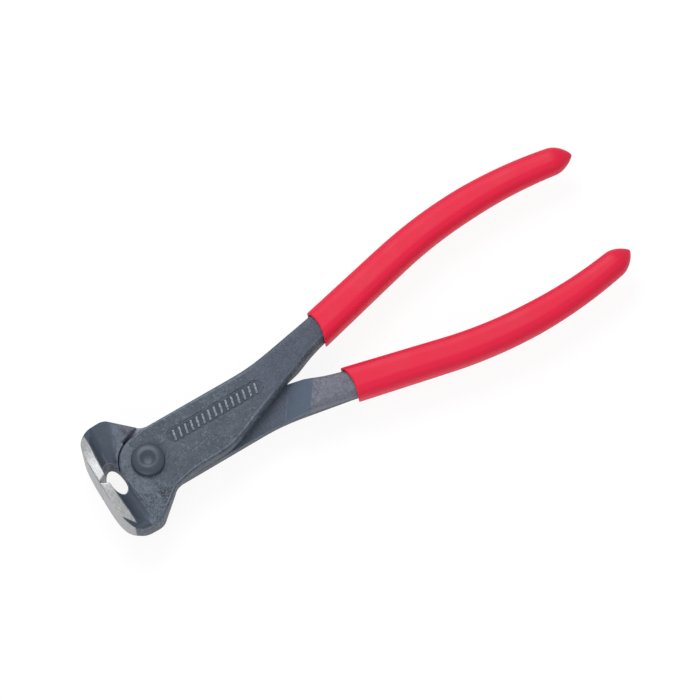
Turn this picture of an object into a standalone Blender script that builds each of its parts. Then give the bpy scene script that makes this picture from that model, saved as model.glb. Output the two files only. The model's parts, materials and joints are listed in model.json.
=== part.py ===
"""End cutting nippers, 180 mm: two forged halves with ground blades, a domed rivet and two dipped grips.

The two halves are the same forging. Each is modelled lying on the lap plane, with its plate above the
plane, its jaw towards -Y and its handle towards +Y; the back half is the same shape turned half a turn
about X. X runs from the jaws to the handles, Z along the rivet. Lengths are in metres.
"""

import math

import bmesh
import bpy
from mathutils import Matrix, Vector

MM = 0.001

# Head, seen along the rivet
FRONT_REACH = 17.0 * MM  # rivet axis to the front of the blades
HEAD_HALF_WIDTH = 18.5 * MM
SHOULDER_X = -8.6 * MM  # where the head is widest
FRONT_BOW = (2.5, 4.0)  # exponents of the bow of the blades' front, along X and Y
SHOULDER_FLAT = 2.9 * MM  # straight stretch of the outline past the widest point
SHOULDER_RADIUS = 4.5 * MM
NECK_X = 3.6 * MM  # where the sloping shoulder meets the plate's flare
NECK_RADIUS = 4.0 * MM
FLARE = 1.6 * MM  # how far the plate stands out at the neck beyond its straight edge
FLARE_LENGTH = 7.5 * MM
FLARE_RADIUS = 14.0 * MM

# Lap joint
JOINT_THICKNESS = 10.0 * MM
PLATE_HALF_WIDTH = 9.8 * MM
BOSS_RADIUS = 9.1 * MM
LAP_GAP = 0.3 * MM  # between the two plates' faces
BOSS_GAP = 0.3 * MM  # between a boss and the recess it turns in
OPENING_ANGLE = math.radians(24.5)  # where a plate's edge meets the other jaw's flank
EDGE_RADIUS = 0.9 * MM  # forged edges of head and plate
NECK_SLOPE_START = 4.4 * MM  # along the flank, where the jaw's face ends and slopes down to the lap plane
NECK_SLOPE_RUN = 3.2 * MM  # along the flank, from the jaw's face down to the lap plane
NECK_SLOPE_TURN = math.radians(128)  # the slope's level lines, from the tool's axis

# Blades
BLADE_WIDTH = 22.0 * MM  # along the rivet axis, at the middle of the cutting edge
BLADE_REACH = 18.3 * MM  # from the middle to where the ground end would come to a point
BLADE_WALL = 2.7 * MM
EDGE_GAP = 0.3 * MM  # between the two cutting edges when closed
EDGE_LAND = 0.3 * MM
EDGE_BEVEL = math.radians(28)

# Hollow between the jaws, and the channels that thin the jaws behind the blades
HOLLOW_LENGTH = 5.6 * MM  # along X
HOLLOW_WIDTH = 11.0 * MM
CHANNEL_FLOOR = 4.2 * MM  # half thickness of the jaw at the channel's floor
CHANNEL_FLOOR_SETBACK = 4.3 * MM  # from the blade's inner face to the floor
CHANNEL_DRIFT = 0.05  # how far the channel moves back for each unit away from the middle
CHANNEL_SEAT = 0.8  # share of the head's half width where the near channel begins to run out
NEAR_RAMP_SPREAD = 0.14  # how far the near channel's ramp moves back for each unit away from the middle
NEAR_RAMP_BOW = 2.0  # exponent of the ramp from the channel's floor up to the plate
FAR_RAMP_END = 0.7 * MM  # from the boss's front to the top of the far channel's ramp, at the hollow's end
FAR_RAMP_SPREAD = 0.59
FAR_RAMP_BOW = 4.0
CHANNEL_PLACES = tuple(place * MM for place in (8.0, 10.5, 13.0, 15.0, 16.8))  # sections beyond the hollow

# Rivet
SHANK_RADIUS = 3.0 * MM
SHANK_CLEARANCE = 0.1 * MM
RIVET_HEAD_RADIUS = 5.3 * MM
RIVET_HEAD_HEIGHT = 1.9 * MM
RIVET_RIM_HEIGHT = 0.7 * MM
RIVET_SEAT_GAP = 0.15 * MM
DIMPLE_RADIUS = 2.6 * MM
DIMPLE_DEPTH = 0.5 * MM
PEENED_RADIUS = 4.3 * MM
PEENED_HEIGHT = 0.9 * MM

# Plate's lower edge and cartouche
PLATE_EDGE_END = 24.6 * MM  # where the edge leaves the plate's full width
PLATE_EDGE_RADIUS = 25.0 * MM
TANG_BLEND_RADIUS = 60.0 * MM
PLATE_THINNING_X = 42.6 * MM  # where the plate begins to thin towards the tang
JOIN_SINK = 0.02 * MM  # how far one of two joined blocks lies inside the other, so that they join cleanly
OVERRUN = 1.0 * MM  # how far blocks and cutters run on past where they meet
CARTOUCHE_START = 8.5 * MM
CARTOUCHE_LENGTH = 34.0 * MM
CARTOUCHE_WIDTH = 5.0 * MM
CARTOUCHE_OFFSET = 2.8 * MM  # its centre line above the tool's axis
CARTOUCHE_DEPTH = 0.5 * MM

# Handles: a straight stretch, then one long arc that curves back in
HANDLE_ROOT = (50.0 * MM, 6.5 * MM)
HANDLE_ANGLE = math.radians(13.4)
STRAIGHT_LENGTH = 47.3 * MM
BEND_RADIUS = 144.0 * MM
TANG_ROOT_WIDTH = 9.8 * MM
TANG_WIDTH = 8.8 * MM  # at the mouth of the grip
TANG_END_WIDTH = 6.4 * MM
TANG_ROOT_THICKNESS = 8.4 * MM
TANG_THICKNESS = 7.6 * MM
TANG_END_THICKNESS = 5.8 * MM
TANG_EDGE_RADIUS = 2.2 * MM
TANG_JOIN = 3.0 * MM  # from the grip's mouth to the first section that is square to the handle
TANG_RAMP_X = 41.5 * MM  # where the lap plane begins to slope out to the tang's full thickness, outer edge
TANG_RAMP_SLANT = math.radians(35)
TANG_RAMP = math.radians(66)  # from the direction of the rivet

# Grips: the mouth is a plane square to the tool's axis, the rest is measured along the handle
GRIP_MOUTH_X = 65.5 * MM
GRIP_LENGTH = 97.3 * MM
GRIP_NOSE = 7.0 * MM
NOSE_BOW = (1.9, 0.85)  # exponents of the nose's outline
NOSE_END = 0.985  # share of the nose's length at its small flat end
GRIP_WALL = 0.9 * MM
GRIP_CLEARANCE = 0.3 * MM
GRIP_BELLY = 77.0 * MM  # where the grip begins to narrow towards its nose
GRIP_BELLY_WIDTH = 10.1 * MM
GRIP_END_WIDTH = 8.6 * MM
GRIP_END_THICKNESS = 8.2 * MM
GRIP_EDGE_RADIUS = 3.3 * MM
GRIP_SOLID_END = 10.5 * MM  # solid plastic beyond the end of the tang

FOREVER = 40.0 * MM  # how far cutters run past the metal
SEGMENTS = 56  # facets round the boss, the rivet and their holes
LENS_SEGMENTS = 96


# Plain geometry


def arc(centre, radius, start, end, count):
    """Points on a circle from one angle to another, both ends included."""
    return [
        Vector((centre[0] + radius * math.cos(a), centre[1] + radius * math.sin(a)))
        for a in (start + (end - start) * i / count for i in range(count + 1))
    ]


def rounded_path(corners, radii, step=math.radians(9)):
    """The path through the corners, each inner corner rounded by its radius."""
    path = [Vector(corners[0])]
    for before, corner, after, radius in zip(corners, corners[1:], corners[2:], radii):
        corner = Vector(corner)
        inward = (Vector(before) - corner).normalized()
        outward = (Vector(after) - corner).normalized()
        half = inward.angle(outward) / 2
        tangent = radius / math.tan(half)
        centre = corner + (inward + outward).normalized() * (radius / math.sin(half))
        first = corner + inward * tangent - centre
        turn = math.pi - 2 * half
        if inward.x * outward.y - inward.y * outward.x > 0:
            turn = -turn
        count = max(2, round(abs(turn) / step))
        path += [centre + Matrix.Rotation(turn * i / count, 2) @ first for i in range(count + 1)]
    path.append(Vector(corners[-1]))
    return path


def height_at(path, x):
    """The Y of a path whose points run to +X, at the given X."""
    for a, b in zip(path, path[1:]):
        if a.x <= x <= b.x:
            return a.y + (b.y - a.y) * (x - a.x) / (b.x - a.x)
    return path[0].y if x < path[0].x else path[-1].y


def blend(stops, at):
    """The value at a place, read straight between (place, value) stops."""
    for (a, low), (b, high) in zip(stops, stops[1:]):
        if at <= b:
            return low + (high - low) * max(0.0, at - a) / (b - a)
    return stops[-1][1]


def rounded_rectangle(width, thickness, radius, steps=3):
    """(sideways, Z) points of a rounded rectangle about the origin, counter-clockwise."""
    radius = min(radius, 0.49 * width, 0.49 * thickness)
    across, up = width / 2 - radius, thickness / 2 - radius
    points = []
    for quarter, (side, rise) in enumerate(((1, 1), (-1, 1), (-1, -1), (1, -1))):
        start = quarter * math.pi / 2
        points += arc((side * across, rise * up), radius, start, start + math.pi / 2, steps)
    return points


# Blender objects


def clear_scene():
    for old in list(bpy.data.objects):
        bpy.data.objects.remove(old)


def new_collection(name):
    collection = bpy.data.collections.new(name)
    bpy.context.scene.collection.children.link(collection)
    return collection


def new_material(name, colour, roughness, metallic):
    material = bpy.data.materials.new(name)
    material.use_nodes = True
    shader = material.node_tree.nodes["Principled BSDF"]
    shader.inputs["Base Color"].default_value = (*colour, 1)
    shader.inputs["Roughness"].default_value = roughness
    shader.inputs["Metallic"].default_value = metallic
    material.diffuse_color = (*colour, 1)
    return material


def new_object(name, bm, collection, parent):
    bmesh.ops.recalc_face_normals(bm, faces=bm.faces)
    mesh = bpy.data.meshes.new(name)
    bm.to_mesh(mesh)
    bm.free()
    made = bpy.data.objects.new(name, mesh)
    made.parent = parent
    collection.objects.link(made)
    return made


def new_cutter(name, bm, half):
    made = new_object(name, bm, half["cutters"], half["axis"])
    made.hide_render = True
    made.display_type = "WIRE"
    return made


def use_cutter(target, cutter, operation="DIFFERENCE"):
    modifier = target.modifiers.new(f"{operation.lower()} {cutter.name}", "BOOLEAN")
    modifier.operation = operation
    modifier.solver = "EXACT"
    modifier.object = cutter


def prism(outline, low, high, edge_radius=0.0):
    """A flat outline raised from low to high along Z, its rims rounded if a radius is given."""
    bm = bmesh.new()
    base = bm.faces.new([bm.verts.new((p[0], p[1], low)) for p in outline])
    raised = bmesh.ops.extrude_face_region(bm, geom=[base])
    top = [v for v in raised["geom"] if isinstance(v, bmesh.types.BMVert)]
    bmesh.ops.translate(bm, verts=top, vec=(0, 0, high - low))
    if edge_radius:
        rims = [e for e in bm.edges if abs(e.verts[0].co.z - e.verts[1].co.z) < (high - low) / 2]
        bmesh.ops.bevel(
            bm, geom=rims, offset=edge_radius, segments=3, profile=0.5, affect="EDGES", clamp_overlap=False
        )
    return bm


def loft(rings):
    """A closed skin over rings that all have the same number of points, capped at both ends."""
    bm = bmesh.new()
    rows = [[bm.verts.new(p) for p in ring] for ring in rings]
    for low, high in zip(rows, rows[1:]):
        for i in range(len(low)):
            j = (i + 1) % len(low)
            bm.faces.new((low[i], low[j], high[j], high[i]))
    bm.faces.new(rows[0])
    bm.faces.new(rows[-1])
    return bm


def shade_round(made, angle=math.radians(35)):
    made.data.shade_smooth()
    made.data.set_sharp_from_angle(angle=angle)


# The handle's path and sections


def handle_point(along):
    """(place, direction angle) of the handle's centre line, a distance along it from its root."""
    root = Vector(HANDLE_ROOT)
    heading = Vector((math.cos(HANDLE_ANGLE), math.sin(HANDLE_ANGLE)))
    if along <= STRAIGHT_LENGTH:
        return root + heading * along, HANDLE_ANGLE
    turned = (along - STRAIGHT_LENGTH) / BEND_RADIUS
    centre = root + heading * STRAIGHT_LENGTH + Vector((heading.y, -heading.x)) * BEND_RADIUS
    angle = HANDLE_ANGLE - turned
    return centre + Vector((-math.sin(angle), math.cos(angle))) * BEND_RADIUS, angle


def handle_ring(along, width, thickness, radius):
    """A section of the handle square to its centre line."""
    centre, angle = handle_point(along)
    side = Vector((-math.sin(angle), math.cos(angle)))
    return [
        (centre.x + side.x * p.x, centre.y + side.y * p.x, p.y)
        for p in rounded_rectangle(width, thickness, radius)
    ]


def grip_start():
    """How far along the handle the middle of the grip's mouth lies."""
    return (GRIP_MOUTH_X - HANDLE_ROOT[0]) / math.cos(HANDLE_ANGLE)


def grip_tip():
    return grip_start() + GRIP_LENGTH


def tang_end():
    return grip_tip() - GRIP_SOLID_END


def tang_size(along):
    """(width, thickness) of the tang, a distance along the handle from its root."""
    width = blend(((0, TANG_ROOT_WIDTH), (grip_start(), TANG_WIDTH), (tang_end(), TANG_END_WIDTH)), along)
    thickness = blend(
        ((0, TANG_ROOT_THICKNESS), (grip_start(), TANG_THICKNESS), (tang_end(), TANG_END_THICKNESS)), along
    )
    return width, thickness


def handle_edge(along, side):
    """The place on the tang's inner (-1) or outer (+1) edge."""
    centre, angle = handle_point(along)
    return centre + Vector((-math.sin(angle), math.cos(angle))) * (side * tang_size(along)[0] / 2)


# One half, in the order in which it is shaped


def shoulder_outline():
    """The sloping side of the head from its widest point, through the neck, to a place on the plate's flare."""
    along_flare = NECK_RADIUS
    corners = (
        (SHOULDER_X, -HEAD_HALF_WIDTH),
        (SHOULDER_X + SHOULDER_FLAT, -HEAD_HALF_WIDTH),
        (NECK_X, -PLATE_HALF_WIDTH - FLARE),
        (NECK_X + along_flare, -PLATE_HALF_WIDTH - FLARE * (1 - along_flare / FLARE_LENGTH)),
    )
    return rounded_path(corners, (SHOULDER_RADIUS, NECK_RADIUS))


def slab_end():
    return shoulder_outline()[-1].x + OVERRUN


def front_outline(sunk=0.0, count=28):
    """The bowed front of the jaw, from the cutting edge to the head's widest point, drawn in by a little."""
    depth = FRONT_REACH + SHOULDER_X - sunk
    width = HEAD_HALF_WIDTH - sunk
    points = []
    for i in range(count):
        turn = math.pi / 2 * i / count
        forward = depth * math.cos(turn) ** (2 / FRONT_BOW[0])
        points.append(Vector((SHOULDER_X - forward, -width * math.sin(turn) ** (2 / FRONT_BOW[1]))))
    parting = Vector((sunk - FRONT_REACH, -EDGE_GAP / 2))
    return [parting] + [p for p in points if p.y < 2 * parting.y]


def head_slab():
    """Jaw and boss as one slab as thick as the joint, with the forging's rounded rims."""
    inside = PLATE_HALF_WIDTH - EDGE_RADIUS
    outline = front_outline(JOIN_SINK) + shoulder_outline()
    end = slab_end()
    outline += [Vector((end, -inside)), Vector((end, inside))]
    outline += [Vector((end - OVERRUN, PLATE_HALF_WIDTH)), Vector((BOSS_RADIUS / 3, PLATE_HALF_WIDTH))]
    outline += arc((0, 0), BOSS_RADIUS, math.radians(95), math.pi, SEGMENTS // 3)
    outline += [Vector((-BOSS_RADIUS, -EDGE_GAP / 2))]
    return prism(outline, -JOINT_THICKNESS / 2, JOINT_THICKNESS / 2, EDGE_RADIUS)


def blade_blank():
    """The jaw's front at full blade width, before the channels are taken out behind the blade."""
    back = CHANNEL_FLOOR_SETBACK + BLADE_WALL - FRONT_REACH
    front = [p for p in front_outline() if p.x < back - OVERRUN]
    outline = front + [Vector((back, front[-1].y)), Vector((back, -EDGE_GAP / 2))]
    return prism(outline, -BLADE_WIDTH / 2, BLADE_WIDTH / 2)


def blade_lens():
    """The ground ends of the blade: an ellipse seen from the front, run back along X."""
    ellipse = [
        (BLADE_REACH * math.cos(a), BLADE_WIDTH / 2 * math.sin(a))
        for a in (2 * math.pi * i / LENS_SEGMENTS for i in range(LENS_SEGMENTS))
    ]
    return loft([[(x, y, z) for y, z in ellipse] for x in (-FOREVER, 0)])


def plate_edges():
    """The plate's lower and upper edge, from the head to the mouth of the grip."""
    mouth = grip_start()
    low_root, low_mouth = handle_edge(0.6 * mouth, -1), handle_edge(mouth, -1)
    high_root, high_mouth = handle_edge(0.0, 1), handle_edge(mouth, 1)
    slope = (high_mouth.y - high_root.y) / (high_mouth.x - high_root.x)
    meet = high_root.x - (high_root.y - PLATE_HALF_WIDTH) / slope
    low = rounded_path(
        (
            (NECK_X, -PLATE_HALF_WIDTH - FLARE),
            (NECK_X + FLARE_LENGTH, -PLATE_HALF_WIDTH),
            (PLATE_EDGE_END, -PLATE_HALF_WIDTH),
            low_root,
            low_mouth,
        ),
        (FLARE_RADIUS, PLATE_EDGE_RADIUS, TANG_BLEND_RADIUS / 2),
        math.radians(5),
    )
    high = rounded_path(
        ((0, PLATE_HALF_WIDTH), (meet, PLATE_HALF_WIDTH), high_mouth), (TANG_BLEND_RADIUS,), math.radians(3)
    )
    return low, high


def body_bar():
    """Plate and tang in one run, from inside the head to the end of the handle."""
    low, high = plate_edges()
    start, mouth = BOSS_RADIUS / 2, min(low[-1].x, high[-1].x)
    thinning = ((PLATE_THINNING_X, JOINT_THICKNESS), (mouth, TANG_THICKNESS))
    rings = []
    stations = 26
    for i in range(stations + 1):
        x = start + (mouth - start) * i / stations
        bottom, top = height_at(low, x), height_at(high, x)
        thickness = blend(thinning, x) if x > thinning[0][0] else JOINT_THICKNESS
        radius = blend(((start, EDGE_RADIUS), (mouth, TANG_EDGE_RADIUS)), x)
        sunk = 2 * JOIN_SINK if x < slab_end() else 0
        section = rounded_rectangle(top - bottom - sunk, thickness - sunk, radius)
        rings.append([(x, (bottom + top) / 2 + p.x, p.y) for p in section])
    first, last = grip_start() + TANG_JOIN, tang_end()
    stations = 18
    for i in range(stations + 1):
        along = first + (last - first) * i / stations
        rings.append(handle_ring(along, *tang_size(along), TANG_EDGE_RADIUS))
    return loft(rings)


def channel_section(away, near_side):
    """(X, Z) outline of the channel behind the blade, at a distance from the tool's axis."""
    top = 0.65 * BLADE_WIDTH
    reach = BLADE_WIDTH / 2
    face = JOINT_THICKNESS / 2
    wall_x = BLADE_WALL - FRONT_REACH + CHANNEL_DRIFT * away
    floor_x = wall_x + CHANNEL_FLOOR_SETBACK
    floor, depth = CHANNEL_FLOOR, face - CHANNEL_FLOOR
    if near_side:
        plate_x, bow = -BOSS_RADIUS + NEAR_RAMP_SPREAD * away, NEAR_RAMP_BOW
        floor = blend(((0, floor), (CHANNEL_SEAT * HEAD_HALF_WIDTH, floor), (HEAD_HALF_WIDTH, face)), away)
    else:
        spread = FAR_RAMP_SPREAD * max(0.0, away - HOLLOW_WIDTH / 2)
        plate_x, bow = -BOSS_RADIUS + FAR_RAMP_END + spread, FAR_RAMP_BOW
    outline = [(wall_x, top)]
    for i in range(9):
        turn = math.pi / 2 * i / 8
        outline.append((floor_x - (floor_x - wall_x) * math.cos(turn), reach - (reach - floor) * math.sin(turn)))
    for share in (0.4, 0.65, 0.85, 1.0):
        outline.append((floor_x + (plate_x - floor_x) * share, floor + depth * share**bow))
    beyond = (top - floor - depth) * (plate_x - floor_x) / (bow * depth)
    outline.append((plate_x + beyond, top))
    return outline


def channel(near_side):
    """The channel across one face of the jaw, from the parting to past the head's side."""
    places = (-OVERRUN, 0, HOLLOW_WIDTH / 2, *CHANNEL_PLACES, HEAD_HALF_WIDTH, HEAD_HALF_WIDTH + 2.5 * OVERRUN)
    side = 1 if near_side else -1
    rings = []
    for place in places:
        rings.append([(x, -place, side * z) for x, z in channel_section(max(0.0, place), near_side)])
    return loft(rings)


def lap_outline(depth):
    """The outline of the room for the other half, a depth below the lap plane."""
    recess = BOSS_RADIUS + BOSS_GAP
    flank = PLATE_HALF_WIDTH + BOSS_GAP
    foot = math.pi / 2 + OPENING_ANGLE
    swing = Vector((math.cos(OPENING_ANGLE), -math.sin(OPENING_ANGLE)))
    level = Vector((math.cos(NECK_SLOPE_TURN), -math.sin(NECK_SLOPE_TURN)))
    foot_point = Vector((flank * math.cos(foot), -flank * math.sin(foot)))
    rise = NECK_SLOPE_RUN * (1 - depth / (JOINT_THICKNESS / 2))
    corner = foot_point + swing * (NECK_SLOPE_START + rise)
    ramp = Vector((TANG_RAMP_X + depth * math.tan(TANG_RAMP), handle_edge(0, 1).y))
    slant = Vector((math.sin(TANG_RAMP_SLANT), -math.cos(TANG_RAMP_SLANT)))
    return (
        [Vector((-recess, FOREVER / 2)), Vector((-recess, EDGE_GAP))]
        + arc((0, 0), recess, math.pi, math.pi + (math.pi - foot), SEGMENTS // 5)
        + [foot_point, corner, corner + level * FOREVER, Vector((TANG_RAMP_X, -2 * FOREVER))]
        + [ramp + slant * FOREVER / 2, ramp - slant * FOREVER / 4]
    )


def lap_cut():
    """Room for the other half: its boss, its plate's swing to fully open, and its plate beyond.

    The flank that the plate swings against ends in a slope, and the tang rises out of the lap plane on a ramp.
    """
    face = 0.55 * JOINT_THICKNESS
    levels = ((-LAP_GAP / 2, 0.0), (face, face), (BLADE_WIDTH, face))
    return loft([[(p.x, p.y, -low) for p in lap_outline(depth)] for low, depth in levels])


def hollow_cut():
    """The oval hollow between the jaws, through both faces."""
    centre = BLADE_WALL - FRONT_REACH + HOLLOW_LENGTH / 2
    oval = [
        Vector((centre + HOLLOW_LENGTH / 2 * math.cos(a), HOLLOW_WIDTH / 2 * math.sin(a)))
        for a in (2 * math.pi * i / 40 for i in range(40))
    ]
    return prism(oval, -BLADE_WIDTH, BLADE_WIDTH)


def edge_bevel_cut():
    """The inner bevel that brings the blade's wall to its cutting edge."""
    start = EDGE_LAND - FRONT_REACH
    end = BLADE_WALL + HOLLOW_LENGTH / 2 - FRONT_REACH
    drop = (end - start) * math.tan(EDGE_BEVEL)
    parting = -EDGE_GAP / 2
    outline = ((start, parting), (end, parting - drop), (end, FOREVER / 4), (start, FOREVER / 4))
    return prism(outline, -BLADE_WIDTH, BLADE_WIDTH)


def rivet_hole_cut():
    return prism(arc((0, 0), SHANK_RADIUS + SHANK_CLEARANCE, 0, 2 * math.pi, SEGMENTS)[:-1], -FOREVER, FOREVER)


def cartouche_cut():
    """The shallow long recess in the near plate."""
    radius = CARTOUCHE_WIDTH / 2
    quarter = math.pi / 2
    left = (CARTOUCHE_START + radius, CARTOUCHE_OFFSET)
    right = (CARTOUCHE_START + CARTOUCHE_LENGTH - radius, CARTOUCHE_OFFSET)
    outline = arc(right, radius, -quarter, quarter, 10) + arc(left, radius, quarter, 3 * quarter, 10)
    return prism(outline, JOINT_THICKNESS / 2 - CARTOUCHE_DEPTH, JOINT_THICKNESS)


def make_half(name, half, with_cartouche):
    """One forged half with its blade, lap plate and tang."""
    made = new_object(name, head_slab(), half["parts"], half["axis"])
    blank = new_cutter(f"{name} blade blank", blade_blank(), half)
    use_cutter(blank, new_cutter(f"{name} blade lens", blade_lens(), half), "INTERSECT")
    use_cutter(made, blank, "UNION")
    use_cutter(made, new_cutter(f"{name} bar", body_bar(), half), "UNION")
    cuts = {
        "near channel": channel(True),
        "far channel": channel(False),
        "lap": lap_cut(),
        "hollow": hollow_cut(),
        "edge bevel": edge_bevel_cut(),
        "rivet hole": rivet_hole_cut(),
    }
    if with_cartouche:
        cuts["cartouche"] = cartouche_cut()
    for what, shape in cuts.items():
        use_cutter(made, new_cutter(f"{name} {what}", shape, half))
    shade_round(made)
    return made


# Rivet and grips


def make_rivet(half):
    """The joint pin: a turned profile from its domed head to its peened end, run round the axis."""
    seat = JOINT_THICKNESS / 2 + RIVET_SEAT_GAP
    top = seat + RIVET_HEAD_HEIGHT
    rim = seat + RIVET_RIM_HEIGHT
    profile = [(0, top - DIMPLE_DEPTH), (0.5 * DIMPLE_RADIUS, top - 0.85 * DIMPLE_DEPTH)]
    profile.append((0.85 * DIMPLE_RADIUS, top - 0.25 * DIMPLE_DEPTH))
    for i in range(6):
        turn = math.pi / 2 * i / 5
        across = DIMPLE_RADIUS + (RIVET_HEAD_RADIUS - DIMPLE_RADIUS) * math.sin(turn)
        profile.append((across, rim + (top - rim) * math.cos(turn)))
    profile += [(RIVET_HEAD_RADIUS, seat), (SHANK_RADIUS, seat), (SHANK_RADIUS, -seat)]
    profile += [(PEENED_RADIUS, -seat)]
    for i in range(4):
        turn = math.pi / 2 * i / 4
        across = PEENED_RADIUS * math.cos(turn)
        profile.append((across, -seat - PEENED_HEIGHT * (0.25 + 0.75 * math.sin(turn))))
    profile.append((0, -seat - PEENED_HEIGHT))
    bm = bmesh.new()
    points = [bm.verts.new((x, 0, z)) for x, z in profile]
    for a, b in zip(points, points[1:]):
        bm.edges.new((a, b))
    mesh = bpy.data.meshes.new("rivet")
    bm.to_mesh(mesh)
    bm.free()
    made = bpy.data.objects.new("rivet", mesh)
    made.parent = half["axis"]
    half["parts"].objects.link(made)
    turned = made.modifiers.new("turned", "SCREW")
    turned.steps = turned.render_steps = SEGMENTS
    turned.use_merge_vertices = True
    turned.merge_threshold = 0.00001
    turned.use_smooth_shade = True
    return made


def grip_size(along):
    """(width, thickness) outside the grip, a distance along the handle from its root."""
    proud = 2 * (GRIP_WALL + GRIP_CLEARANCE)
    width, thickness = tang_size(grip_start())
    nose = grip_tip() - GRIP_NOSE
    return (
        blend(((grip_start(), width + proud), (GRIP_BELLY, GRIP_BELLY_WIDTH), (nose, GRIP_END_WIDTH)), along),
        blend(((grip_start(), thickness + proud), (nose, GRIP_END_THICKNESS)), along),
    )


def make_grip(name, half):
    """A dipped sleeve: a skin along the handle that closes in a pointed nose, hollow for the tang."""
    nose = grip_tip() - GRIP_NOSE
    stations = 36
    rings = []
    before_mouth = grip_start() - PLATE_HALF_WIDTH / 2
    for i in range(stations + 1):
        along = before_mouth + (nose - before_mouth) * i / stations
        rings.append(handle_ring(along, *grip_size(along), GRIP_EDGE_RADIUS))
    width, thickness = grip_size(nose)
    for step in (NOSE_END * i / 8 for i in range(1, 9)):
        share = (1 - step ** NOSE_BOW[0]) ** NOSE_BOW[1]
        radius = GRIP_EDGE_RADIUS * share
        rings.append(handle_ring(nose + GRIP_NOSE * step, width * share, thickness * share, radius))
    made = new_object(name, loft(rings), half["parts"], half["axis"])
    first, last = before_mouth - OVERRUN, tang_end() + GRIP_CLEARANCE
    rings = []
    for i in range(stations + 1):
        along = first + (last - first) * i / stations
        room = [size + 2 * GRIP_CLEARANCE for size in tang_size(along)]
        rings.append(handle_ring(along, *room, TANG_EDGE_RADIUS + GRIP_CLEARANCE))
    use_cutter(made, new_cutter(f"{name} hollow", loft(rings), half))
    mouth = ((0, -FOREVER), (GRIP_MOUTH_X, -FOREVER), (GRIP_MOUTH_X, FOREVER), (0, FOREVER))
    use_cutter(made, new_cutter(f"{name} mouth", prism(mouth, -FOREVER, FOREVER), half))
    shade_round(made)
    return made


def main():
    clear_scene()
    parts = new_collection("end cutting nippers")
    cutters = new_collection("cutters")
    cutters.hide_render = True
    steel = new_material("black lacquered steel", (0.105, 0.12, 0.142), 0.42, 0.35)
    pin = new_material("dark rivet steel", (0.075, 0.09, 0.115), 0.34, 0.4)
    dip = new_material("red dipped plastic", (0.78, 0.035, 0.09), 0.36, 0.0)

    # The box's centre stands on the origin, and the blades' far ends lie on the ground plane
    tip = handle_point(grip_tip())[0]
    pivot = Vector(((FRONT_REACH - tip.x) / 2, 0, BLADE_WIDTH / 2))
    axes = {}
    for name, turn in (("front", 0.0), ("back", math.pi)):
        axis = bpy.data.objects.new(f"{name} half's axis", None)
        axis.location = pivot
        axis.rotation_euler = (turn, 0, 0)
        parts.objects.link(axis)
        axes[name] = {"axis": axis, "parts": parts, "cutters": cutters}

    made = {}
    for name, half in axes.items():
        made[f"{name}_half"] = make_half(f"{name}_half", half, with_cartouche=name == "front")
        made[f"{name}_grip"] = make_grip(f"{name}_grip", half)
    rivet_axis = bpy.data.objects.new("rivet's axis", None)
    rivet_axis.location = pivot
    parts.objects.link(rivet_axis)
    made["rivet"] = make_rivet({"axis": rivet_axis, "parts": parts})
    for name, piece in made.items():
        material = dip if name.endswith("grip") else pin if name == "rivet" else steel
        piece.data.materials.append(material)


main()
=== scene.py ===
"""Looks of the end cutting nippers: forged lacquered halves, ground blades, joint rivet and dipped grips."""

import json
import math

import bpy
from mathutils import Matrix, Vector


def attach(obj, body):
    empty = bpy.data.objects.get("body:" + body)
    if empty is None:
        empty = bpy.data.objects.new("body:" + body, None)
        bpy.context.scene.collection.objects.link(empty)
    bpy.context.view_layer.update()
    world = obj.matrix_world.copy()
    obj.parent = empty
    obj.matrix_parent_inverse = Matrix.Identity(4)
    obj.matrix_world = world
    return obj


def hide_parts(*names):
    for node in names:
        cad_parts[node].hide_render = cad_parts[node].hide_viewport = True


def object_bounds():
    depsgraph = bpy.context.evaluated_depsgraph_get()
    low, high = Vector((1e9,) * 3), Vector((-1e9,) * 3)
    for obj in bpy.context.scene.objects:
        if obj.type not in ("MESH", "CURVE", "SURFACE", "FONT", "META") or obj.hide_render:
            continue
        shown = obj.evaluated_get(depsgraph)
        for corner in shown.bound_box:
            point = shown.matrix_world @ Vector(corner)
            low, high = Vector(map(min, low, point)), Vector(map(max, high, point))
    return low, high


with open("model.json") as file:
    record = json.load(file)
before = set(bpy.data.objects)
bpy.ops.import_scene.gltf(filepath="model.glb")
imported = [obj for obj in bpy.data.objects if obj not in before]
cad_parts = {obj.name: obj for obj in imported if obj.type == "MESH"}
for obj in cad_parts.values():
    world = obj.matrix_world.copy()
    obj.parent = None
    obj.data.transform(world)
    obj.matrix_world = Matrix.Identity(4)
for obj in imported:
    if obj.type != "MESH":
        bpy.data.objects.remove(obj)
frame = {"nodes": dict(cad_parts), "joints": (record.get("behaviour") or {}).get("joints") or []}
CAD_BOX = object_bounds()
HINGE = Vector(frame["joints"][0]["pos_m"])

bl_info = {
    "name": "End cutting nippers",
    "version": (1, 0, 0),
    "blender": (4, 5, 0),
    "location": "View3D > Sidebar > Nippers",
    "description": "Gives packed end cutting nippers their forged, ground and dipped surfaces",
    "category": "Object",
}

MM = 0.001
WELD = 0.001 * MM  # corners of a CAD node that lie closer than this are one

# The ribs and the recess that they stand in
SINK = 0.1 * MM  # how far a rib reaches into the recess's floor
RECESS_MIDDLE = (25.5 * MM, 2.8 * MM, 4.5 * MM)  # the recess's floor, from the hinge
RECESS_LENGTH = 34.0 * MM
RECESS_MARGIN = 3.0 * MM  # of the recess's length, left free of ribs
RIB_ROUNDING = 0.22 * MM

# The rivet and the grips
RIVET_GRAIN = 0.15 * MM
RIVET_SOFTENING = 16
RIVET_KEPT_SHARE = 0.5
GRIP_KEPT_SHARE = 0.5
MOUTH_MIDDLE = (65.5 * MM, 10.19 * MM)  # of a grip, from the hinge
MOUTH_WIDTH = 11.6 * MM
CUTTER_HEIGHT = 40.0 * MM  # more than a grip is thick
CUTTER_SIDES = 96

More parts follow.
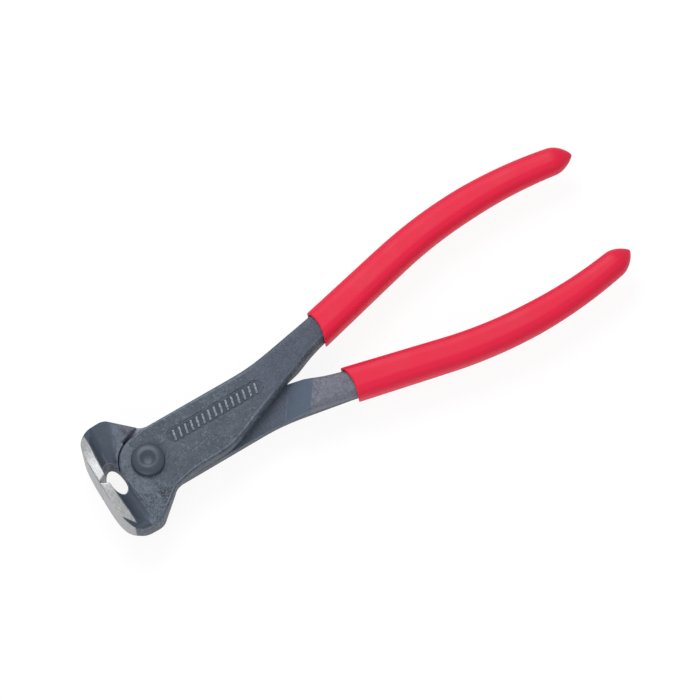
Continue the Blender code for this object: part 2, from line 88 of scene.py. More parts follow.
# The stage, in metres and watts
FLOOR_SIZE = 6.0
FLOOR_GLOW = 1.04
FLOOR_GLOW_SHARE = 0.86
WORLD_STRENGTH = 0.52
LAMPS = (
    # name, place, width, power
    ("key", (0.1, 0.42, 0.68), 0.45, 3.1),
    ("fill", (-0.5, -0.4, 0.5), 0.6, 1.5),
)
CAMERA_AWAY = 2.0
AIM_OFFSET = Vector((-0.8, -0.55, 0)) * MM  # from the middle of the CAD box

# Where the finishes and the painted light of a half end, in mm from the rivet's axis. A pair is a fade from
# none to all of it, unless it is said to be a slope
WALL_DRIFT = 0.05  # how far the blade wall's foot leans back for each mm from the middle
WALL_FOOT = (-13.7, -14.2)
WALL_STRAIGHT_END = 17.4
WALL_SLANTED_END = (1.12, 30.4)  # slope: rise along x, and distance from the middle at the rivet
WALL_END = (0.15, -0.15)
BOW_MIDDLE = -8.6
BOW_HALF_LENGTH = 8.4
BOW_HALF_WIDTH = 18.5
BOW_EDGE = (0.94, 0.97)
BOW_BACK = (-8.0, -8.6)
BOW_SIDE = (16.7, 16.2)
BEVEL_SLOPE = (0.53, 9.3)  # slope: rise along x, and distance from the middle at the rivet
BEVEL_EDGE = (-0.1, 0.1)
BEVEL_BACK = (-9.5, -10.5)
HOLLOW_MIDDLE = -11.5
HOLLOW_HALF_LENGTH = 2.8
HOLLOW_HALF_WIDTH = 5.5
HOLLOW_EDGE = (1.14, 1.06)
CHANNEL_DEPTH = (4.95, 4.85)
CHANNEL_FRONT = (-9.6, -10.0)
JAW_ROOT = (-2.0, -3.0)
JAW_FACE = (6.0, 11.0)
JAW_FACE_BACK = (3.0, -3.0)
RECESS_FRONT = (8.0, 9.0)
RECESS_DEPTH = (4.85, 4.7)
PLATE_END = (34.0, 46.0)
LAP_DEPTH = (0.9, 0.5)
LAP_BACK = (9.0, 7.0)
LAP_START = (8.0, 12.0)
RAMP_SLOPE = (-0.7, 59.2)  # slope: rise across the half, and x of the ramp's end at the middle
RAMP_END = (-0.25, 0.25)
RAMP_START = (-9.2, -9.6)
PARTING = (-0.5, 0.5)  # in height
GAP_RADIUS = 9.25  # of the gap round the boss
GAP_RIM = (1.0, 0.6)
RIM_HEIGHT = (2.0, 4.0)
RIM_BACK = (-1.0, -3.0)
NECK_TOP = (5.0, 4.8)
NECK_RADIUS = (15.0, 14.0)
NECK_TURN = (-0.5, -2.0)
LIP_LOW = (4.2, 4.7)
LIP_HIGH = (5.1, 4.95)
LIP_FRONT = (-9.6, -9.0)
RIM_FRONT = (-9.0, -8.0)  # of the rubbed rounded edges

# How a surface lies: fades in its normal's x, and in how far its normal points up or down
TO_BACK = (-0.45, -0.3)
TO_FRONT = (-0.3, -0.45)
NOT_STEEP = (0.3, 0.5)
NEARLY_LEVEL = (0.8, 0.95)
LEVEL = (0.85, 0.95)
NOT_LEVEL = (0.95, 0.85)
FLOOR_LEVEL = (0.9, 0.97)
RIM_LOW = (0.8, 0.89)
RIM_HIGH = (0.985, 0.95)

# Materials
NOISE_SPREAD = (0.3, 0.7)  # between which nearly all of a noise lies
BLUE_TINT = (0.94, 1.03, 1.16)
CLOUD_SIZE = 5.0 * MM
PIT_SIZE = 0.9 * MM
WORM_SIZE = 1.8 * MM
GRIND_SIZE = 0.8 * MM
GRIND_STRETCH = (2.2, 0.7, 0.7)
PIT_DEPTH = 0.22 * MM
SWELL_DEPTH = 0.3 * MM


# Settings that a user would change


class ForgingSettings(bpy.types.PropertyGroup):
    """Sizes of the forged halves' surface."""

    grain: bpy.props.FloatProperty(
        name="Surface grain", description="Size of the cells that the forging's skin is rebuilt from",
        default=0.2 * MM, min=0.1 * MM, subtype="DISTANCE", unit="LENGTH",
    )
    softening: bpy.props.IntProperty(
        name="Softening", description="How often the rebuilt skin is evened out, which rounds its edges",
        default=3, min=0, max=40,
    )
    kept_share: bpy.props.FloatProperty(
        name="Kept faces", description="Share of the rebuilt faces that are kept",
        default=0.42, min=0.05, max=1.0, subtype="FACTOR",
    )


class RibSettings(bpy.types.PropertyGroup):
    """The row of plain raised ribs in the near plate's recess."""

    count: bpy.props.IntProperty(
        name="Ribs", description="How many ribs stand in the recess",
        default=15, min=2, max=30,
    )
    length: bpy.props.FloatProperty(
        name="Length", description="Length of a rib, across the recess",
        default=3.5 * MM, min=MM, max=4.4 * MM, subtype="DISTANCE", unit="LENGTH",
    )
    width: bpy.props.FloatProperty(
        name="Width", description="Width of a rib, along the recess",
        default=0.85 * MM, min=0.2 * MM, subtype="DISTANCE", unit="LENGTH",
    )
    height: bpy.props.FloatProperty(
        name="Height", description="Height of a rib above the recess's floor",
        default=0.42 * MM, min=0.1 * MM, max=0.5 * MM, subtype="DISTANCE", unit="LENGTH",
    )
    slant: bpy.props.FloatProperty(
        name="Slant", description="Lean of the ribs from straight across",
        default=math.radians(12), subtype="ANGLE", unit="ROTATION",
    )


class GripSettings(bpy.types.PropertyGroup):
    """Sizes and colour of the dipped grips."""

    grain: bpy.props.FloatProperty(
        name="Surface grain", description="Size of the cells that the sleeve's skin is rebuilt from",
        default=0.26 * MM, min=0.1 * MM, subtype="DISTANCE", unit="LENGTH",
    )
    softening: bpy.props.IntProperty(
        name="Softening", description="How often the rebuilt skin is evened out",
        default=12, min=0, max=60,
    )
    mouth_scoop: bpy.props.FloatProperty(
        name="Mouth scoop", description="How far the middle of the mouth's edge lies back from its corners",
        default=1.3 * MM, min=0.1 * MM, subtype="DISTANCE", unit="LENGTH",
    )
    colour: bpy.props.FloatVectorProperty(
        name="Colour", description="Colour of the dipped plastic",
        default=(0.75, 0.007, 0.047), size=3, min=0.0, max=1.0, subtype="COLOR",
    )


class SteelSettings(bpy.types.PropertyGroup):
    """Colours of the steel."""

    lacquer: bpy.props.FloatVectorProperty(
        name="Lacquer", description="Colour of the lacquer over the forged skin",
        default=(0.075, 0.09, 0.113), size=3, min=0.0, max=1.0, subtype="COLOR",
    )
    ground: bpy.props.FloatVectorProperty(
        name="Ground steel", description="Colour of the bare ground blade faces",
        default=(0.385, 0.389, 0.4), size=3, min=0.0, max=1.0, subtype="COLOR",
    )
    scale: bpy.props.FloatVectorProperty(
        name="Scale", description="Colour of the raw scale on the tang behind the lap",
        default=(0.2, 0.205, 0.255), size=3, min=0.0, max=1.0, subtype="COLOR",
    )


class StageSettings(bpy.types.PropertyGroup):
    """Camera, floor and light."""

    azimuth: bpy.props.FloatProperty(
        name="Azimuth", description="Direction that the camera stands in, turned from -Y",
        default=math.radians(-17.2), subtype="ANGLE", unit="ROTATION",
    )
    elevation: bpy.props.FloatProperty(
        name="Elevation", description="Height of the camera above the horizon",
        default=math.radians(74.0), subtype="ANGLE", unit="ROTATION",
    )
    roll: bpy.props.FloatProperty(
        name="Roll", description="Turn of the camera about its own line of sight",
        default=math.radians(-13.57), subtype="ANGLE", unit="ROTATION",
    )
    width: bpy.props.FloatProperty(
        name="Width in view", description="Width that the camera takes in",
        default=0.2154, subtype="DISTANCE", unit="LENGTH",
    )


SETTINGS = {
    "nippers_forging": ForgingSettings,
    "nippers_ribs": RibSettings,
    "nippers_grips": GripSettings,
    "nippers_steel": SteelSettings,
    "nippers_stage": StageSettings,
}


# Modelling


def only(*objects):
    """Selects these objects and nothing else; the first is the active one."""
    bpy.ops.object.select_all(action="DESELECT")
    for obj in objects:
        obj.select_set(True)
    bpy.context.view_layer.objects.active = objects[0]


def cad_copy(node, name):
    """A copy of a CAD node with its loose triangles merged into one surface."""
    obj = bpy.data.objects.new(name, frame["nodes"][node].data.copy())
    bpy.context.scene.collection.objects.link(obj)
    obj.data.materials.clear()
    only(obj)
    bpy.ops.object.mode_set(mode="EDIT")
    bpy.ops.mesh.select_all(action="SELECT")
    bpy.ops.mesh.remove_doubles(threshold=WELD)
    bpy.ops.object.mode_set(mode="OBJECT")
    return obj


def finish_with(obj, name, kind, **values):
    """Adds a modifier, sets it and applies it."""
    only(obj)
    modifier = obj.modifiers.new(name, kind)
    for key, value in values.items():
        setattr(modifier, key, value)
    bpy.ops.object.modifier_apply(modifier=modifier.name)


def rebuild_skin(obj, grain, softening, kept_share):
    """An even skin over the copied solid, its edges rounded as a die or a dip leaves them."""
    finish_with(obj, "skin", "REMESH", mode="VOXEL", voxel_size=grain, use_smooth_shade=True)
    finish_with(obj, "evened", "SMOOTH", factor=0.5, iterations=softening)
    finish_with(obj, "thinned", "DECIMATE", ratio=kept_share)
    only(obj)
    bpy.ops.object.shade_smooth()


# Materials


def new_material(name):
    material = bpy.data.materials.new(name)
    material.use_nodes = True
    return material


class Nodes:
    """Short ways to add and link a material's nodes."""

    def __init__(self, material):
        self.tree = material.node_tree
        self.shader = self.tree.nodes["Principled BSDF"]
        places = self.add("ShaderNodeTexCoord").outputs
        self.place, self.facing = places["Object"], places["Normal"]

    def add(self, kind, **values):
        node = self.tree.nodes.new(kind)
        for key, value in values.items():
            setattr(node, key, value)
        return node

    def link(self, source, target):
        self.tree.links.new(source, target)

    def fill(self, socket, value):
        if isinstance(value, bpy.types.NodeSocket):
            self.link(value, socket)
        else:
            socket.default_value = value

    def math(self, operation, *values):
        node = self.add("ShaderNodeMath", operation=operation)
        for socket, value in zip(node.inputs, values):
            self.fill(socket, value)
        return node.outputs[0]

    def chained(self, operation, values):
        total, *others = values
        for value in others:
            total = self.math(operation, total, value)
        return total

    def product(self, *values):
        return self.chained("MULTIPLY", values)

    def most(self, *values):
        return self.chained("MAXIMUM", values)

    def size_of(self, value):
        return self.math("ABSOLUTE", value)

    def left_by(self, share):
        """What a share leaves of the whole."""
        return self.math("SUBTRACT", 1.0, share)

    def line(self, value, slope, start):
        """The value times the slope, plus the start."""
        return self.math("MULTIPLY_ADD", value, slope, start)

    def rounded(self, value, middle, half_length, power):
        """Distance from the middle as a share of the half length, raised to a power."""
        distance = self.size_of(self.math("SUBTRACT", value, middle))
        return self.math("POWER", self.math("DIVIDE", distance, half_length), power)

    def mapped(self, scale=(1, 1, 1), location=(0, 0, 0)):
        node = self.add("ShaderNodeMapping")
        self.link(self.place, node.inputs["Vector"])
        node.inputs["Location"].default_value = location
        node.inputs["Scale"].default_value = scale
        return node.outputs[0]

    def split(self, vector):
        node = self.add("ShaderNodeSeparateXYZ")
        self.link(vector, node.inputs[0])
        return node.outputs

    def noise(self, size, detail=2.0, roughness=0.5, distortion=0.0, vector=None):
        """Noise whose features are about size metres across."""
        node = self.add("ShaderNodeTexNoise")
        self.link(vector or self.place, node.inputs["Vector"])
        node.inputs["Scale"].default_value = 1 / size
        node.inputs["Detail"].default_value = detail
        node.inputs["Roughness"].default_value = roughness
        node.inputs["Distortion"].default_value = distortion
        return node.outputs["Fac"]

    def ramp(self, value, low, high, to_low=0.0, to_high=1.0):
        """A soft fade from to_low at low to to_high at high."""
        node = self.add("ShaderNodeMapRange", interpolation_type="SMOOTHSTEP")
        for key, item in (("Value", value), ("From Min", low), ("From Max", high)):
            self.fill(node.inputs[key], item)
        node.inputs["To Min"].default_value = to_low
        node.inputs["To Max"].default_value = to_high
        return node.outputs[0]

    # The Mix node's sockets go by number, because it has several of the same name
    def mix(self, share, first, second):
        node = self.add("ShaderNodeMix", data_type="RGBA")
        self.fill(node.inputs[0], share)
        self.fill(node.inputs[6], first)
        self.fill(node.inputs[7], second)
        return node.outputs[2]

    def blend(self, share, first, second):
        node = self.add("ShaderNodeMix", data_type="FLOAT")
        self.fill(node.inputs[0], share)
        self.fill(node.inputs[2], first)
        self.fill(node.inputs[3], second)
        return node.outputs[0]

    def bump(self, height, distance, strength=1.0, normal=None):
        node = self.add("ShaderNodeBump")
        self.fill(node.inputs["Height"], height)
        node.inputs["Distance"].default_value = distance
        self.fill(node.inputs["Strength"], strength)
        if normal:
            self.link(normal, node.inputs["Normal"])
        return node.outputs[0]


def tone(colour, share):
    """A colour made lighter or darker, with its alpha."""
    return (*[min(1.0, c * share) for c in colour], 1.0)


def cool(colour, share):
    """The same, turned towards blue as smooth lacquer is."""
    return tone([c * tint for c, tint in zip(colour, BLUE_TINT)], share)


class HeadMasks:
    """Where on a half each finish and each patch of painted light lies, by its place in mm from the rivet's
    axis and by its own slant.
    """

    def __init__(self, n, plate_side):
        spot = n.split(n.mapped(scale=(1 / MM,) * 3, location=-HINGE / MM))
        slant = n.split(n.facing)
        x, own_y = spot[0], n.product(spot[1], plate_side)
        away, level = n.size_of(spot[1]), n.size_of(spot[2])
        self.x = x
        self.flat = n.size_of(slant[2])
        own_side = n.ramp(n.product(spot[2], plate_side), *PARTING)
        lap_side = n.left_by(own_side)
        turned = n.math("POWER", n.math("ADD", n.product(x, x), n.product(away, away)), 0.5)

        # The blade's wall in front of the channel: on the plate's side its end is cut off at a slant
        foot = n.math("SUBTRACT", x, n.product(away, WALL_DRIFT))
        slanted_end = n.math("SUBTRACT", away, n.line(x, *WALL_SLANTED_END))
        straight_end = n.math("SUBTRACT", away, WALL_STRAIGHT_END)
        end = n.ramp(n.blend(own_side, straight_end, slanted_end), *WALL_END)
        self.wall = n.product(n.ramp(foot, *WALL_FOOT), n.ramp(slant[0], *TO_BACK), end)

        # The bowed front
        reach = n.rounded(x, BOW_MIDDLE, BOW_HALF_LENGTH, 2.5)
        spread = n.rounded(away, 0.0, BOW_HALF_WIDTH, 4.0)
        bow = n.ramp(n.math("ADD", reach, spread), *BOW_EDGE)
        ahead = n.product(n.ramp(slant[0], *TO_FRONT), n.ramp(x, *BOW_BACK))
        self.front = n.product(bow, ahead, n.ramp(away, *BOW_SIDE))

        # The inner bevel at the parting, and the wall of the hollow behind the edges
        opened = n.math("SUBTRACT", n.line(x, *BEVEL_SLOPE), away)
        self.bevel = n.product(n.ramp(opened, *BEVEL_EDGE), n.ramp(x, *BEVEL_BACK))
        across = n.rounded(x, HOLLOW_MIDDLE, HOLLOW_HALF_LENGTH, 2.0)
        along = n.rounded(away, 0.0, HOLLOW_HALF_WIDTH, 2.0)
        self.hollow = n.ramp(n.math("ADD", across, along), *HOLLOW_EDGE)

        # The channel behind the blade, and its lip
        sunk = n.most(n.ramp(level, *CHANNEL_DEPTH), n.ramp(x, *CHANNEL_FRONT))
        self.channel = n.product(sunk, n.ramp(x, *JAW_ROOT), n.ramp(self.flat, *NOT_STEEP))
        lip = n.product(n.ramp(level, *LIP_LOW), n.ramp(level, *LIP_HIGH))
        self.lip = n.product(lip, n.ramp(x, *JAW_ROOT), n.ramp(x, *LIP_FRONT))

        # The jaw's near face, pitted most, the recess in the plate, and the plate's run into its tang
        outer = n.product(n.ramp(n.product(own_y, -1.0), *JAW_FACE), n.ramp(x, *JAW_FACE_BACK))
        self.pitted = n.product(outer, own_side, n.left_by(self.channel))
        inside = n.product(n.ramp(x, *RECESS_FRONT), n.ramp(level, *RECESS_DEPTH))
        self.recess = n.product(inside, own_side, n.ramp(self.flat, *FLOOR_LEVEL))
        self.behind = n.product(own_side, n.ramp(x, *PLATE_END), n.ramp(self.flat, *NEARLY_LEVEL))

        # On the lap's side: the smooth ramp, where it starts, and the raw tang beyond it. Where it starts is
        # drawn lighter, as painted light against the shade that the plate above casts there
        beyond = n.math("SUBTRACT", x, n.line(own_y, *RAMP_SLOPE))
        self.tang = n.product(lap_side, n.ramp(beyond, *RAMP_END))
        self.lapped = n.product(n.math("SUBTRACT", lap_side, self.tang), n.ramp(x, *LAP_START))
        self.seat_painted_light = n.product(self.lapped, n.ramp(beyond, *RAMP_START))

        # Cut bare, and also drawn light as painted light in the gap's shade: the lap's own face, and the
        # wall that faces the boss across the gap
        lap = n.product(n.ramp(level, *LAP_DEPTH), n.ramp(self.flat, *LEVEL), n.ramp(x, *LAP_BACK))
        outward = n.math("ADD", n.product(slant[0], x), n.product(slant[1], spot[1]))
        facing_boss = n.product(n.ramp(outward, *NECK_TURN), n.ramp(level, *NECK_TOP), lap_side)
        neck = n.product(facing_boss, n.ramp(self.flat, *NOT_LEVEL), n.ramp(turned, *NECK_RADIUS))
        self.cut = n.most(lap, neck)

        # The rubbed rims on both sides of the gap round the boss
        near_gap = n.ramp(n.size_of(n.math("SUBTRACT", turned, GAP_RADIUS)), *GAP_RIM)
        self.collar = n.product(near_gap, n.ramp(level, *RIM_HEIGHT), n.ramp(x, *RIM_BACK))


def lacquered_steel(name, seed, plate_side):
    """Dark lacquer over a pitted forged skin, with bare ground steel on the blades."""
    settings = bpy.context.scene.nippers_steel
    lacquer, scale, ground = settings.lacquer, settings.scale, settings.ground
    material = new_material(name)
    n = Nodes(material)
    masks = HeadMasks(n, plate_side)
    shifted = n.mapped(location=(seed, 2 * seed, 0))
    cloud = n.noise(CLOUD_SIZE, 3.0, vector=shifted)
    pits = n.noise(PIT_SIZE, 3.0, 0.65, 1.0, shifted)
    worms = n.size_of(n.math("SUBTRACT", n.noise(WORM_SIZE, 2.0, 0.6, 0.8, shifted), 0.5))
    worms = n.ramp(worms, 0.03, 0.008)
    grind = n.noise(GRIND_SIZE, 4.0, 0.7, vector=n.mapped(scale=GRIND_STRETCH))
    rough = n.ramp(n.most(masks.channel, masks.lapped), 0.0, 1.0, 1.0, 0.3)

    # Where the lacquer is rubbed: on the pits' rims, on rounded edges, and on the rims of gap and channel
    pit_rims = n.most(n.ramp(pits, 0.55, 0.7), worms)
    rubbed = n.product(pit_rims, n.line(masks.pitted, 0.45, n.product(rough, 0.5)))
    ridge = n.product(n.ramp(masks.flat, *RIM_LOW), n.ramp(masks.flat, *RIM_HIGH))
    ridge = n.product(ridge, n.ramp(masks.x, *RIM_FRONT), n.left_by(n.most(masks.lapped, masks.tang)))
    ridge = n.product(ridge, n.ramp(pits, 0.35, 0.6, 0.35, 0.8))
    worn = n.product(n.most(masks.collar, masks.lip), n.ramp(pits, 0.35, 0.6, 0.2, 0.75))

    # Each finish, and each patch of painted light, lies over those before it: its share of the surface, and
    # its colour
    bare = n.most(masks.wall, masks.front, masks.bevel)
    steel = n.mix(n.ramp(grind, *NOISE_SPREAD), tone(ground, 0.7), tone(ground, 1.15))
    finishes_and_painted_light = (
        (n.product(n.ramp(pits, 0.45, 0.3), rough), tone(lacquer, 0.5)),
        (n.product(n.ramp(pits, 0.52, 0.4), masks.pitted), tone(lacquer, 0.35)),
        (rubbed, tone(lacquer, 2.9)),
        (n.product(masks.tang, n.ramp(pits, 0.35, 0.65, 0.4, 1.0)), tone(scale, 1.0)),
        (ridge, tone(lacquer, 2.8)),
        (n.product(masks.lapped, 0.7), cool(lacquer, 1.6)),
        # painted light: the lap's flat before the ramp drawn lighter, against the plate's shade on it
        (n.product(masks.seat_painted_light, 0.5), cool(lacquer, 2.0)),
        # bare cut steel, and also painted light that lightens the shaded gap round the boss
        (masks.cut, tone(scale, 1.6)),
        (n.product(masks.channel, 0.8), cool(lacquer, 0.7)),
        # the recess's floor is drawn darker
        (n.product(masks.recess, 0.5), tone(lacquer, 0.55)),
        (worn, tone(lacquer, 2.3)),
        (n.product(masks.behind, 0.7), cool(scale, 0.5)),
        (n.product(masks.hollow, 0.85), tone(scale, 1.3)),
        (bare, steel),
    )
    colour = n.mix(n.ramp(cloud, *NOISE_SPREAD), tone(lacquer, 0.88), tone(lacquer, 1.12))
    for share, layer in finishes_and_painted_light:
        colour = n.mix(share, colour, layer)
    n.link(colour, n.shader.inputs["Base Color"])

    skin_roughness = n.ramp(pits, *NOISE_SPREAD, 0.38, 0.58)
    ground_roughness = n.ramp(grind, *NOISE_SPREAD, 0.38, 0.5)
    n.link(n.blend(bare, skin_roughness, ground_roughness), n.shader.inputs["Roughness"])
    n.link(n.blend(bare, 0.12, 0.7), n.shader.inputs["Metallic"])
    n.shader.inputs["Specular IOR Level"].default_value = 0.2

    skin_height = n.product(n.line(worms, 0.3, pits), n.line(masks.pitted, 0.8, rough))
    height = n.blend(bare, skin_height, n.product(grind, 0.25))
    swell = n.bump(cloud, SWELL_DEPTH, 0.4)
    n.link(n.bump(height, PIT_DEPTH, 1.0, swell), n.shader.inputs["Normal"])
    return material


def dipped_plastic(name):
    """Soft red plastic with a faintly uneven, satin skin."""
    settings = bpy.context.scene.nippers_grips
    material = new_material(name)
    n = Nodes(material)
    cloud = n.noise(9 * MM, 2.0)
    peel = n.noise(1.6 * MM, 1.0)
    colour = n.mix(cloud, tone(settings.colour, 0.94), tone(settings.colour, 1.06))
    n.link(colour, n.shader.inputs["Base Color"])
    n.link(n.ramp(cloud, *NOISE_SPREAD, 0.46, 0.54), n.shader.inputs["Roughness"])
    n.shader.inputs["Specular IOR Level"].default_value = 0.3
    n.link(n.bump(peel, 0.04 * MM, 0.5), n.shader.inputs["Normal"])
    return material


def rubbed_lacquer(name):
    """Lacquer that has gone pale where it stands proud."""
    settings = bpy.context.scene.nippers_steel
    material = new_material(name)
    n = Nodes(material)
    pits = n.noise(0.5 * MM, 3.0, 0.7)
    colour = n.mix(n.ramp(pits, 0.4, 0.62), tone(settings.lacquer, 1.0), tone(settings.lacquer, 3.0))
    n.link(colour, n.shader.inputs["Base Color"])
    n.link(n.ramp(pits, *NOISE_SPREAD, 0.34, 0.5), n.shader.inputs["Roughness"])
    n.shader.inputs["Metallic"].default_value = 0.2
    n.link(n.bump(pits, 0.08 * MM, 0.7), n.shader.inputs["Normal"])
    return material


def rivet_lacquer(name):
    """Smooth dark lacquer on the turned rivet head, glossier than the forgings."""
    settings = bpy.context.scene.nippers_steel
    material = new_material(name)
    n = Nodes(material)
    cloud = n.noise(2.5 * MM, 3.0)
    colour = n.mix(cloud, cool(settings.lacquer, 0.52), cool(settings.lacquer, 0.64))
    n.link(colour, n.shader.inputs["Base Color"])
    n.link(n.ramp(cloud, *NOISE_SPREAD, 0.32, 0.4), n.shader.inputs["Roughness"])
    n.shader.inputs["Metallic"].default_value = 0.1
    n.shader.inputs["Specular IOR Level"].default_value = 0.35
    n.link(n.bump(n.noise(0.8 * MM), 0.03 * MM, 0.5), n.shader.inputs["Normal"])
    return material


def seen_plainly(tree):
    """1 for the rays that show a thing to the camera: straight, in a gloss or through glass."""
    rays = tree.nodes.new("ShaderNodeLightPath").outputs
    share = rays["Is Camera Ray"]
    for kind in ("Is Glossy Ray", "Is Transmission Ray"):
        either = tree.nodes.new("ShaderNodeMath")
        either.operation = "MAXIMUM"
        tree.links.new(share, either.inputs[0])
        tree.links.new(rays[kind], either.inputs[1])
        share = either.outputs[0]
    return share


def pale_floor(name):
    """A white floor that keeps the object's shadow."""
    material = new_material(name)
    n = Nodes(material)
    n.shader.inputs["Base Color"].default_value = (0.9, 0.9, 0.9, 1.0)
    n.shader.inputs["Roughness"].default_value = 0.8
    glow = n.add("ShaderNodeEmission")
    glow.inputs["Strength"].default_value = FLOOR_GLOW
    mixed = n.add("ShaderNodeMixShader")
    n.link(n.product(seen_plainly(n.tree), FLOOR_GLOW_SHARE), mixed.inputs[0])
    n.link(n.shader.outputs[0], mixed.inputs[1])
    n.link(glow.outputs[0], mixed.inputs[2])
    n.link(mixed.outputs[0], n.tree.nodes["Material Output"].inputs["Surface"])
    return material


# Pieces


def place(obj, node, body, slot, material):
    """Lets a finished piece stand for its CAD node."""
    obj.data.materials.clear()
    obj.data.materials.append(material)
    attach(obj, body)
    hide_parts(node)


class NIPPERS_OT_halves(bpy.types.Operator):
    """Rebuild the two forged halves with their forged skin and ground blades"""

    bl_idname = "nippers.halves"
    bl_label = "Forged halves"

    def execute(self, context):
        settings = context.scene.nippers_forging
        for seed, side in enumerate(("front", "back")):
            obj = cad_copy(f"{side}_half", f"{side}_half_forging")
            rebuild_skin(obj, settings.grain, settings.softening, settings.kept_share)
            material = lacquered_steel(f"lacquered steel {side}", seed, 1 - 2 * seed)
            place(obj, f"{side}_half", f"{side}_lever", "forged_steel", material)
        return {"FINISHED"}


class NIPPERS_OT_ribs(bpy.types.Operator):
    """Raise a row of plain ribs in the recess of the near plate"""

    bl_idname = "nippers.ribs"
    bl_label = "Recess ribs"

    def execute(self, context):
        settings = context.scene.nippers_ribs
        floor = HINGE + Vector(RECESS_MIDDLE)
        spacing = (RECESS_LENGTH - RECESS_MARGIN) / settings.count
        material = rubbed_lacquer("rubbed lacquer")
        ribs = []
        for i in range(settings.count):
            along = (i - (settings.count - 1) / 2) * spacing
            middle = floor + Vector((along, 0, settings.height / 2 - SINK))
            bpy.ops.object.select_all(action="DESELECT")
            bpy.ops.mesh.primitive_cube_add(size=1.0, location=middle)
            rib = context.active_object
            rib.scale = (settings.width, settings.length, settings.height + 2 * SINK)
            rib.rotation_euler = (0, 0, -settings.slant)
            bpy.ops.object.transform_apply(location=True, rotation=True, scale=True)
            ribs.append(rib)
        only(*ribs)
        bpy.ops.object.join()
        row = context.active_object
        row.name = "recess_ribs"
        finish_with(row, "rounded", "BEVEL", width=RIB_ROUNDING, segments=3, limit_method="ANGLE")
        only(row)
        bpy.ops.object.shade_smooth_by_angle(angle=math.radians(50))
        row.data.materials.append(material)
        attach(row, "front_lever")
        return {"FINISHED"}


class NIPPERS_OT_rivet(bpy.types.Operator):
    """Finish the joint rivet"""

    bl_idname = "nippers.rivet"
    bl_label = "Joint rivet"

    def execute(self, context):
        obj = cad_copy("rivet", "joint_rivet")
        rebuild_skin(obj, RIVET_GRAIN, RIVET_SOFTENING, RIVET_KEPT_SHARE)
        place(obj, "rivet", "back_lever", "rivet_steel", rivet_lacquer("rivet lacquer"))
        return {"FINISHED"}


class NIPPERS_OT_grips(bpy.types.Operator):
    """Rebuild the two dipped grips with their rounded mouths"""

    bl_idname = "nippers.grips"
    bl_label = "Dipped grips"

    def execute(self, context):
        settings = context.scene.nippers_grips
        material = dipped_plastic("dipped plastic")
        for side in ("front", "back"):
            obj = cad_copy(f"{side}_grip", f"{side}_dipped_grip")
            self.scoop(context, obj, settings.mouth_scoop, 1 if side == "front" else -1)
            rebuild_skin(obj, settings.grain, settings.softening, GRIP_KEPT_SHARE)
            place(obj, f"{side}_grip", f"{side}_lever", "grip_plastic", material)
        return {"FINISHED"}

    def scoop(self, context, obj, depth, side):
        """Cuts the mouth's edge to a shallow arc through its two corners."""
        radius = ((MOUTH_WIDTH / 2) ** 2 + depth**2) / (2 * depth)
        along = MOUTH_MIDDLE[0] + depth - radius
        middle = HINGE + Vector((along, side * MOUTH_MIDDLE[1], 0))
        bpy.ops.object.select_all(action="DESELECT")
        bpy.ops.mesh.primitive_cylinder_add(
            vertices=CUTTER_SIDES, radius=radius, depth=CUTTER_HEIGHT, location=middle
        )
        cutter = context.active_object
        finish_with(obj, "scoop", "BOOLEAN", operation="DIFFERENCE", solver="EXACT", object=cutter)
        bpy.data.objects.remove(cutter)


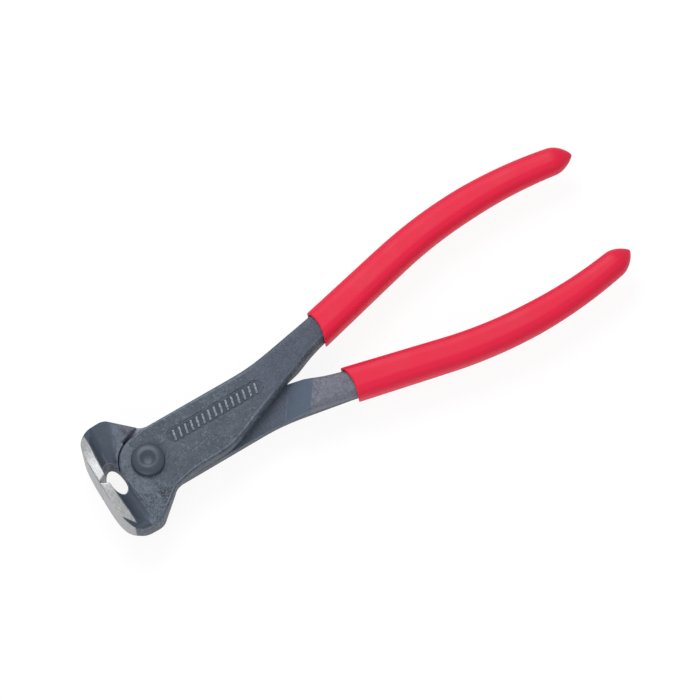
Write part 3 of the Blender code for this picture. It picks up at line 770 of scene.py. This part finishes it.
class NIPPERS_OT_stage(bpy.types.Operator):
    """Set up the floor, the light and the camera"""

    bl_idname = "nippers.stage"
    bl_label = "Stage"

    def execute(self, context):
        settings = context.scene.nippers_stage
        bpy.ops.object.select_all(action="DESELECT")
        bpy.ops.mesh.primitive_plane_add(size=FLOOR_SIZE, location=(0, 0, 0))
        floor = context.active_object
        floor.name = "floor"
        floor.data.materials.append(pale_floor("floor white"))
        for name, place, size, power in LAMPS:
            self.light(context, name, place, size, power)
        context.scene.world = self.world()
        self.camera(context, settings)
        context.scene.view_settings.view_transform = "Standard"
        return {"FINISHED"}

    def world(self):
        """Even light from all round, which is plain white where it is seen."""
        world = bpy.data.worlds.new("studio")
        world.use_nodes = True
        tree = world.node_tree
        background = tree.nodes["Background"]
        level = tree.nodes.new("ShaderNodeMix")
        level.inputs[2].default_value = WORLD_STRENGTH
        level.inputs[3].default_value = 1.0
        tree.links.new(seen_plainly(tree), level.inputs[0])
        tree.links.new(level.outputs[0], background.inputs["Strength"])
        background.inputs["Color"].default_value = (1, 1, 1, 1)
        return world

    def light(self, context, name, place, size, power):
        data = bpy.data.lights.new(name, "AREA")
        data.shape = "DISK"
        data.size = size
        data.energy = power
        lamp = bpy.data.objects.new(name, data)
        lamp.location = place
        lamp.rotation_euler = (-Vector(place)).to_track_quat("-Z", "Y").to_euler()
        context.scene.collection.objects.link(lamp)

    def camera(self, context, settings):
        azimuth, elevation = settings.azimuth, settings.elevation
        across = math.cos(elevation)
        back = Vector((math.sin(azimuth) * across, -math.cos(azimuth) * across, math.sin(elevation)))
        turn = (-back).to_track_quat("-Z", "Y").to_matrix() @ Matrix.Rotation(settings.roll, 3, "Z")
        aim = (CAD_BOX[0] + CAD_BOX[1]) / 2 + AIM_OFFSET
        data = bpy.data.cameras.new("camera")
        data.type = "ORTHO"
        data.ortho_scale = settings.width
        camera = bpy.data.objects.new("camera", data)
        camera.matrix_world = Matrix.Translation(aim + back * CAMERA_AWAY) @ turn.to_4x4()
        context.scene.collection.objects.link(camera)
        context.scene.camera = camera


class NIPPERS_PT_panel(bpy.types.Panel):
    """The nippers' pieces in the order in which they are made"""

    bl_label = "End cutting nippers"
    bl_idname = "NIPPERS_PT_panel"
    bl_space_type = "VIEW_3D"
    bl_region_type = "UI"
    bl_category = "Nippers"

    def draw(self, context):
        for name, settings in SETTINGS.items():
            box = self.layout.box()
            for key in settings.__annotations__:
                box.prop(getattr(context.scene, name), key)
        for operator in OPERATORS:
            self.layout.operator(operator.bl_idname)


OPERATORS = (NIPPERS_OT_halves, NIPPERS_OT_ribs, NIPPERS_OT_rivet, NIPPERS_OT_grips, NIPPERS_OT_stage)
CLASSES = (*SETTINGS.values(), *OPERATORS, NIPPERS_PT_panel)


def register():
    for cls in CLASSES:
        bpy.utils.register_class(cls)
    for name, settings in SETTINGS.items():
        setattr(bpy.types.Scene, name, bpy.props.PointerProperty(type=settings))


def unregister():
    for name in SETTINGS:
        delattr(bpy.types.Scene, name)
    for cls in reversed(CLASSES):
        bpy.utils.unregister_class(cls)


def main():
    register()
    bpy.ops.nippers.halves()
    bpy.ops.nippers.ribs()
    bpy.ops.nippers.rivet()
    bpy.ops.nippers.grips()
    bpy.ops.nippers.stage()


if __name__ == "__main__":
    main()
